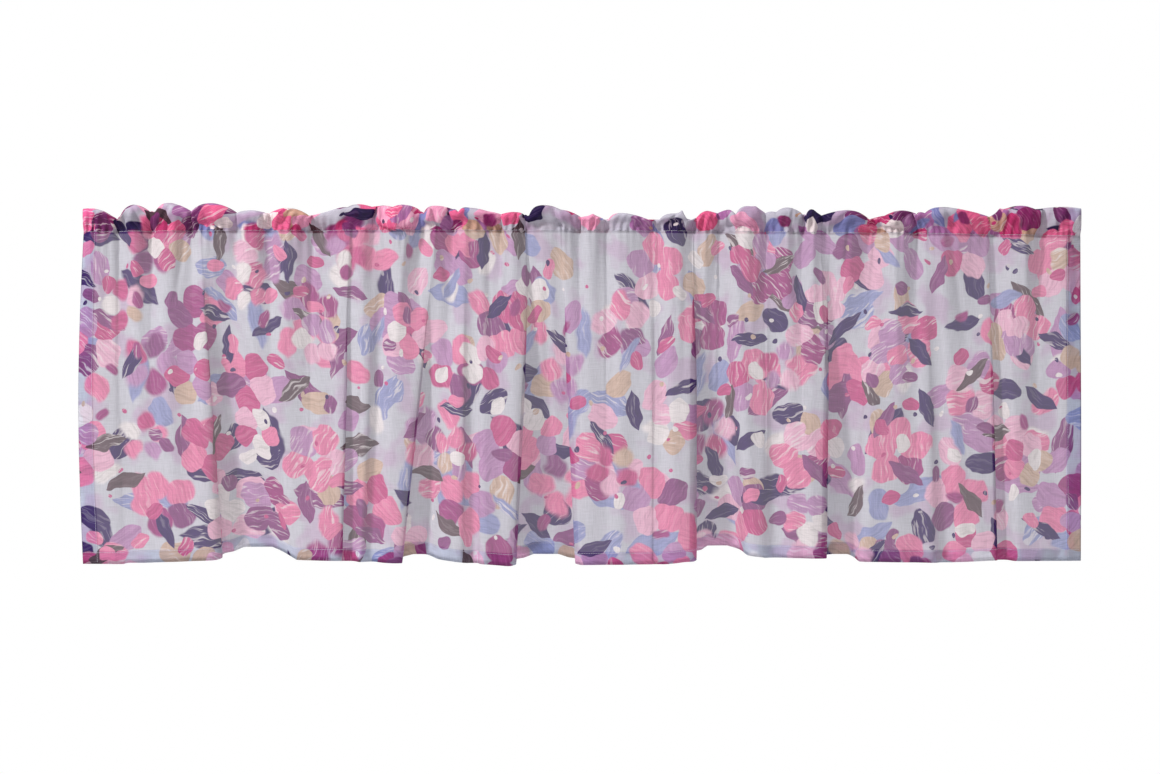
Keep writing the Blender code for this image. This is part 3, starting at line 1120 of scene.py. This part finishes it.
TIPS = (
    Tip(-790, 28, -6.0),
    Tip(-774, 4, -5.5),
    Tip(-718, 7, -11.0),
    Tip(-654, 20, -3.5),
    Tip(-526, 20, -4.0),
    Tip(-394, 10, -4.0),
    Tip(-318, 10, -5.0),
    Tip(-266, 4, -7.5),
    Tip(-208, 4, -7.5),
    Tip(-158, 28, -3.5),
    Tip(-90, 5, -12.5),
    Tip(-36, 20, -4.5),
    Tip(18, 7, 4.5),
    Tip(44, 5, -6.0),
    Tip(128, 28, -6.5),
    Tip(130, 4, -4.0),
    Tip(168, 4, 9.0),
    Tip(176, 4, -4.0),
    Tip(192, 10, -6.0),
    Tip(258, 7, -13.0),
    Tip(292, 5, 3.0),
    Tip(326, 10, -7.0),
    Tip(376, 4, -7.0),
    Tip(396, 14, -5.5),
    Tip(508, 28, -8.0),
    Tip(576, 10, -8.5),
    Tip(702, 5, 6.0),
    Tip(762, 10, -3.0),
)


@dataclass
class PocketHeading:
    """The top of the cloth, turned over into the rod pocket and drawn into ruffles."""

    cloth: GatheredCloth
    panel: HangingPanel
    column_count: int = 1240
    ring_points: int = 52
    rod_clear: float = 0.0062  # from the pocket's middle to each of its plies
    pinch: float = 0.60  # share of that left in the notches between ruffles
    pinch_power: float = 0.35
    front_puff: float = 0.58
    back_puff: float = 0.35
    puff_power: float = 0.60  # rounder lobes, parted by sharper creases
    shoulder: float = 14.0  # mm above the seam where the plies have parted
    crown_power: float = 0.85  # rounder crowns, parted by sharper notches
    lowest_dip: float = 28.5  # mm below the top, so that a rod passes under every notch
    tuck_width: float = 0.060  # share of the ruffle
    tuck_scale: float = 2.1  # times each ruffle's depth of tuck, in the front ply
    tuck_drift: float = 0.35  # how far a tuck has drifted to the ruffle's middle at the top
    tuck_fade: float = 0.55  # how much of it has gone there
    roll: float = 2.1  # times each ruffle's lean, for how far its crown rolls aside
    roll_power: float = 0.8  # of the height, for how the roll grows
    lap_power: float = 0.30  # of a roll: steep on the side that laps over its neighbour
    slope_power: float = 0.90  # and gentle on the other side
    lap_full: float = 7.0  # lean, in mm, that laps fully
    lap_lift: float = 0.35  # how far a lapping side comes forward, as a share of its reach
    lap_press: float = 0.50  # how far the side under it is pressed back
    lap_peak: float = 0.15  # how far a side has puffed where both are greatest
    wrinkle: float = 0.0015  # of the small waves over each ruffle
    overhang: float = 0.50  # how far back the foot lies of a puff that stands out on top only
    droop_low: float = 0.25  # a front droops most this far, of its height, below its middle
    droop_push: float = 0.35  # how far it comes forward meanwhile, as a share of its droop
    allowance: float = 0.004  # of the turned edge under the seam, at the back
    tip_power: float = 1.2  # sharper than a round bump's 2
    # Share of the reach forward, mm above the seam, and share of the way from there to the
    # crown, from the seam's front over the top to its back.
    section: tuple[tuple[float, float, float], ...] = (
        (0.0, 0.0, 0.0),
        (0.10, 3.5, 0.0),
        (0.42, 8.0, 0.02),
        (0.84, 13.0, 0.14),
        (1.08, 14.0, 0.50),
        (0.84, 14.0, 0.86),
        (0.0, 14.0, 1.0),
        (-0.64, 13.0, 0.90),
        (-0.98, 11.0, 0.62),
        (-0.98, 8.0, 0.30),
        (-0.80, 5.0, 0.08),
        (-0.40, 2.0, 0.0),
        (0.0, 0.0, 0.0),
    )

    def rounded_section(self) -> np.ndarray:
        """Passes a smooth curve through the section's points, from seam to seam.

        Returns:
            The curve's points, as the section's are given.
        """
        points = np.array(self.section)
        ends = (2.0 * points[0] - points[1], 2.0 * points[-1] - points[-2])
        points = np.vstack((ends[0], points, ends[1]))
        curve = []
        for step in np.linspace(0.0, len(self.section) - 1.0, self.ring_points):
            start = min(int(step), len(self.section) - 2)
            t = step - start
            before, near, far, after = points[start : start + 4]
            slope = far - before
            bend = 2.0 * before - 5.0 * near + 4.0 * far - after
            twist = 3.0 * near - before - 3.0 * far + after
            curve.append(near + 0.5 * (slope * t + bend * t * t + twist * t ** 3))
        return np.array(curve)

    def crown(self, places: np.ndarray) -> np.ndarray:
        """Finds the height of the top edge: round lobes, notches between them, and tips.

        Args:
            places: x of each place, in metres.

        Returns:
            The height at each.
        """
        index, passed, puff = self.cloth.ruffles_at(places)
        dips = np.array([FIRST_DIP] + [ruffle.dip for ruffle in RUFFLES])
        dip = mix(dips[index], dips[index + 1], passed)
        top = self.cloth.ruffle_column("top", index)
        height = -mix(dip, top, puff ** self.crown_power) * MM
        for tip in TIPS:
            aside = np.abs((places / MM - tip.x) / tip.width)
            height += tip.height * MM * np.exp(-aside ** self.tip_power)
        return np.maximum(height, -self.lowest_dip * MM)

    def laps(self, index: np.ndarray, passed: np.ndarray) -> tuple[np.ndarray, np.ndarray]:
        """Finds where ruffles roll over their neighbours.

        Args:
            index: each place's ruffle.
            passed: share of it that is passed.

        Returns:
            From 0 to 1, how fully each place's side of its ruffle laps over the next one,
            and how fully it lies under it.
        """
        leans = np.array([ruffle.lean for ruffle in RUFFLES], dtype=float)
        before = np.concatenate(([0.0], leans[:-1]))
        after = np.concatenate((leans[1:], [0.0]))
        right = passed > self.cloth.ruffle_column("peak", index)
        own = np.where(right, leans[index], -leans[index])
        other = np.where(right, -after[index], before[index])
        over = np.where(own > np.maximum(other, 0.0), own, 0.0)
        under = np.where(other > np.maximum(own, 0.0), other, 0.0)
        return np.clip(over / self.lap_full, 0.0, 1.0), np.clip(under / self.lap_full, 0.0, 1.0)

    def ring(
        self, places: np.ndarray, seam: tuple[np.ndarray, np.ndarray], point: np.ndarray
    ) -> tuple[np.ndarray, np.ndarray, np.ndarray]:
        """Follows one point of the section along the whole heading.

        Args:
            places: places on the gathered width.
            seam: x and y of the seam at each.
            point: the section's point.

        Returns:
            x, y and z at each place.
        """
        forward, low, height = point[0], max(point[1], 0.0), min(max(point[2], 0.0), 1.0)
        index, passed, puff = self.cloth.ruffles_at(places)
        at_front = forward > 0.0
        side = 1.0 if at_front else -1.0
        swell = self.cloth.ruffle_column("swell", index) * MM
        puffed = self.front_puff if at_front else self.back_puff
        reach = self.rod_clear * mix(self.pinch, 1.0, puff ** self.pinch_power)
        reach = reach + puffed * swell * puff ** self.puff_power
        hanging = 0.5 + 0.5 * np.sin(2.4 * index + 0.5)  # no two overhang alike
        if at_front:
            reach = reach * (1.0 - self.overhang * hanging * puff * (1.0 - height) ** 1.5)
        over, under = self.laps(index, passed)
        beside = puff / self.lap_peak * np.exp(1.0 - puff / self.lap_peak)
        reach = reach * (1.0 + (self.lap_lift * over - self.lap_press * under) * beside)
        parted = ease(low / self.shoulder)
        tuck = self.cloth.ruffle_column("tuck", index)
        from_tuck = (passed - mix(tuck, 0.5, self.tuck_drift * height)) / self.tuck_width
        crease = self.tuck_scale * self.cloth.ruffle_column("tuck_depth", index) * MM
        crease = crease * np.exp(-from_tuck * from_tuck) * parted * (1.0 - self.tuck_fade * height)
        hang = math.sin(math.pi * min(1.0, height + self.droop_low)) * parted * max(forward, 0.0)
        droop = self.cloth.ruffle_column("droop", index) * MM * puff * hang
        lean = self.cloth.ruffle_column("lean", index)
        # The wrinkles slant with the roll, and are out of step from ruffle to ruffle.
        turns = 2.3 * passed + 0.9 * height * np.sign(lean) + 0.37 * index
        wrinkle = self.wrinkle * parted * puff ** 0.5 * np.sin(2.0 * np.pi * turns)
        power = mix(self.slope_power, self.lap_power, over)
        rolled = self.roll * lean * MM * puff ** power
        foot = self.cloth.seam_height(places)
        x = seam[0] + rolled * height ** self.roll_power
        z = mix(foot + low * MM, self.crown(x), height)
        pucker = self.cloth.puckers(places, z - foot) * (1.0 if at_front else 1.0 - parted)
        y = (1.0 - parted) * seam[1] - forward * reach + side * crease - self.droop_push * droop
        return x, y - pucker - wrinkle, z - droop

    def layout(self) -> Layout:
        """Places every point of the heading, from the back of the seam over to its front.

        Returns:
            The points.
        """
        section = self.rounded_section()
        along = np.linspace(-self.cloth.half_width, self.cloth.half_width, FINE_COUNT)
        seam = self.cloth.plan(along, 0.0)
        plans = [seam]
        for number in (0.2, 0.4, 0.7):
            x, y, _ = self.ring(along, seam, section[int(number * self.ring_points)])
            plans.append((x, y))
        front = self.cloth.spread(along, plans, self.column_count)
        places, depth, past = self.panel.sides(front)
        seam = self.cloth.plan(places, 0.0)
        back_x, back_y = self.cloth.backward(places, 0.0)
        foot = self.cloth.seam_height(places)
        flat = self.panel.flat_places(seam[0], seam[1], past)
        across = [flat]
        gap = depth * self.panel.ply_gap
        rows = [(seam[0] + back_x * gap, seam[1] + back_y * gap, foot)]
        for point in section[1:-1]:
            x, y, z = self.ring(places, seam, point)
            rows.append((x, y + (gap if point[0] > 0.0 else -gap), z))
            puffed = self.panel.flat_places(x, y, past)
            across.append(mix(flat, puffed, ease(min(max(point[2], 0.0), 1.0))))
        behind = self.panel.ply_gap * (1.2 + depth)
        for below in (0.0, self.allowance / 2, self.allowance):
            rows.append((seam[0] + back_x * behind, seam[1] + back_y * behind, foot - below))
            across.append(flat)
        points = np.array(rows)
        steps = np.linalg.norm(np.diff(points, axis=0), axis=1)
        up = np.concatenate((np.zeros((1, len(places))), np.cumsum(steps, axis=0)))
        points = points[::-1]
        return Layout(points[:, 0], points[:, 1], points[:, 2], np.array(across)[::-1], up[::-1])

    def build(self, finish: bpy.types.Material) -> bpy.types.Object:
        """Makes the heading and dresses it.

        Args:
            finish: the doubled cloth's material.

        Returns:
            The sheet.
        """
        heading = self.layout().sheet("voile_heading")
        heading.data.materials.append(finish)
        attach(heading, "root")
        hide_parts("rod_pocket_heading")
        return heading


@dataclass
class Stitching:
    """Lockstitch seams: thread that rises over each stitch and dips into the cloth."""

    cloth: GatheredCloth
    panel: HangingPanel
    pitch: float = 0.0029  # length of a stitch
    thread: float = 0.00050  # drawn a little thicker than the real 0.3 mm, to show
    hem_margin: float = 0.0022  # from the hem's inner edge to its stitches
    sunk: float = 0.55  # thicknesses by which the thread dips into the cloth
    pulled: float = 0.35  # share of its thickness left there
    steps: int = 5  # points along each stitch
    sides: int = 6

    def line(self, places: np.ndarray, shares: np.ndarray) -> tuple[np.ndarray, np.ndarray]:
        """Follows the front of the cloth.

        Args:
            places: places on the gathered width at half height.
            shares: share of the drop at each.

        Returns:
            The line's points, and the direction out of the cloth at each.
        """
        points = np.empty((len(places), 3))
        outward = np.zeros((len(places), 3))
        level = np.unique(shares)
        for share in level:
            there = shares == share
            along = self.cloth.follow(places[there], share)
            x, y = self.cloth.plan(along, share)
            back_x, back_y = self.cloth.backward(along, share)
            top = self.cloth.seam_height(along)
            hem = self.cloth.hem_height(self.cloth.follow(places[there], 1.0))
            points[there] = np.stack((x, y, mix(top, hem, share)), axis=1)
            outward[there, 0] = -back_x
            outward[there, 1] = -back_y
        return points, outward

    def sew(self, name: str, lines: list[tuple[np.ndarray, np.ndarray]]) -> bpy.types.Object:
        """Sews along lines.

        Args:
            name: the new object's name.
            lines: for each line its points and the direction out of the cloth.

        Returns:
            The thread.
        """
        shape = bmesh.new()
        for points, facing in lines:
            lengths = np.linalg.norm(np.diff(points, axis=0), axis=1)
            travelled = np.concatenate(([0.0], np.cumsum(lengths)))
            count = int(travelled[-1] / self.pitch)
            log.info("%s: a line of %d stitches", name, count)
            distance = np.linspace(0.0, count * self.pitch, count * self.steps + 1)
            middle = np.stack([np.interp(distance, travelled, points[:, a]) for a in range(3)])
            out = np.stack([np.interp(distance, travelled, facing[:, a]) for a in range(3)])
            ahead = np.gradient(middle, axis=1)
            ahead /= np.linalg.norm(ahead, axis=0)
            aside = np.cross(ahead, out, axis=0)
            rise = np.abs(np.sin(np.pi * distance / self.pitch)) ** 0.6
            radius = self.thread / 2 * mix(self.pulled, 1.0, rise)
            lift = self.thread * (rise - self.sunk)
            turn = np.linspace(0.0, 2.0 * np.pi, self.sides + 1)[:, None]
            outward = lift + radius * np.sin(turn)
            sideways = radius * np.cos(turn)
            ring = [middle[a] + out[a] * outward + aside[a] * sideways for a in range(3)]
            length = np.broadcast_to(distance, ring[0].shape)
            thread = Layout(*ring, length, np.broadcast_to(turn * self.thread / 2, length.shape))
            piece = thread.sheet(name)
            shape.from_mesh(piece.data)
            mesh = piece.data
            bpy.data.objects.remove(piece)
            bpy.data.meshes.remove(mesh)
        bmesh.ops.remove_doubles(shape, verts=shape.verts, dist=0.000001)
        bmesh.ops.recalc_face_normals(shape, faces=shape.faces)
        return link_mesh(name, shape)

    def build(self, finish: bpy.types.Material) -> tuple[bpy.types.Object, bpy.types.Object]:
        """Sews the seam and the hems.

        Args:
            finish: the thread's material.

        Returns:
            The seam's stitches and the hems' stitches.
        """
        half = self.cloth.half_width
        across = np.linspace(-half + 0.001, half - 0.001, 4000)
        down = np.linspace(0.004, 0.996, 500)
        foot = 1.0 - (self.panel.bottom_hem - self.hem_margin) / self.panel.flat_drop
        side = half - self.panel.side_hem + self.hem_margin
        seam = self.sew("seam_stitches", [self.line(across, np.zeros(len(across)))])
        lines = [self.line(across, np.full(len(across), foot))]
        lines += [self.line(np.full(len(down), place), down) for place in (-side, side)]
        hems = self.sew("hem_stitches", lines)
        for thing, slot in ((seam, "voile_doubled"), (hems, "voile")):
            thing.data.materials.append(finish)
            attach(thing, "root")
        return seam, hems


@dataclass
class Studio:
    """Plain pale floor, soft light from all sides, and the camera of the photograph."""

    floor_height: float = -1.30
    floor_radius: float = 2.2
    distance: float = 4.5  # from the valance to the camera
    centre: tuple[float, float] = (-0.0034, -0.310)  # x and z that the camera faces
    seen_width: float = 1.950  # metres across the picture, at the valance
    sensor: float = 36.0  # mm
    sky_light: float = 0.26  # the sky is seen as pure white, and lights more softly

    def floor(self) -> bpy.types.Object:
        """Makes the floor.

        Returns:
            The floor.
        """
        shape = bmesh.new()
        place = Matrix.Translation((0.0, 0.0, self.floor_height))
        bmesh.ops.create_circle(
            shape, cap_ends=True, segments=96, radius=self.floor_radius, matrix=place
        )
        floor = link_mesh("floor", shape)
        floor.data.materials.append(PaintedBoard().build())
        return floor

    def area_light(
        self, name: str, place: tuple[float, float, float], size: float, power: float
    ) -> None:
        """Adds a large soft light turned to the middle of the valance.

        Args:
            name: the light's name.
            place: its middle.
            size: its diameter.
            power: its power in watts.
        """
        data = bpy.data.lights.new(name, "AREA")
        data.shape = "DISK"
        data.size = size
        data.energy = power
        lamp = bpy.data.objects.new(name, data)
        lamp.location = place
        aim = Vector((0.0, 0.0, self.centre[1])) - Vector(place)
        lamp.rotation_euler = aim.to_track_quat("-Z", "Y").to_euler()
        bpy.context.collection.objects.link(lamp)

    def build(self) -> None:
        """Sets up the floor, world, lights and camera."""
        scene = bpy.context.scene
        scene.view_settings.view_transform = "Standard"
        world = bpy.data.worlds.new("white studio")
        world.use_nodes = True
        scene.world = world
        tree = world.node_tree
        sky = tree.nodes["Background"]
        sky.inputs["Color"].default_value = (1.0, 1.0, 1.0, 1.0)
        rays = add_node(tree, "LightPath", {})
        strength = add_node(
            tree, "MapRange", {"Value": rays.outputs["Is Camera Ray"], "To Min": self.sky_light}
        )
        tree.links.new(strength.outputs[0], sky.inputs["Strength"])
        self.floor()
        self.area_light("key", (-3.0, -2.2, 2.3), 0.7, 230.0)
        self.area_light("fill", (1.2, -4.0, -0.9), 1.6, 30.0)
        self.area_light("back", (0.6, 3.4, 0.6), 2.4, 64.0)
        self.area_light("top", (0.5, -0.6, 2.9), 2.2, 46.0)
        camera_data = bpy.data.cameras.new("camera")
        camera_data.sensor_width = self.sensor
        camera_data.lens = self.sensor * self.distance / self.seen_width
        camera = bpy.data.objects.new("camera", camera_data)
        camera.location = (self.centre[0], -self.distance, self.centre[1])
        camera.rotation_euler = (math.pi / 2, 0.0, 0.0)
        bpy.context.collection.objects.link(camera)
        scene.camera = camera


def flat_area(thing: bpy.types.Object) -> float:
    """Area of a sheet's faces in square metres."""
    return sum(face.area for face in thing.data.polygons)


def main() -> None:
    """Builds the valance's pieces in order."""
    logging.basicConfig(level=logging.INFO, format="%(message)s")
    single = PrintedVoile("printed voile", "#bebbc3", see_through=0.10, glow=0.40)
    # The heading's copy of the voile has painted shade: deeper inks, lifted so that the pale
    # ground stays pale.
    doubled = PrintedVoile(
        "printed voile, doubled", "#bebbc3", see_through=0.06, glow=0.30, depth=1.5, lift=1.42
    )
    cloth = GatheredCloth()
    panel_maker = HangingPanel(cloth)
    panel = panel_maker.build(single.build())
    heading = PocketHeading(cloth, panel_maker).build(doubled.build())
    seam, hems = Stitching(cloth, panel_maker).build(SewingThread().build())
    for thing in (panel, heading):
        log.info("%s: %d faces, %.3f m2", thing.name, len(thing.data.polygons), flat_area(thing))
    Studio().build()


if __name__ == "__main__":
    main()
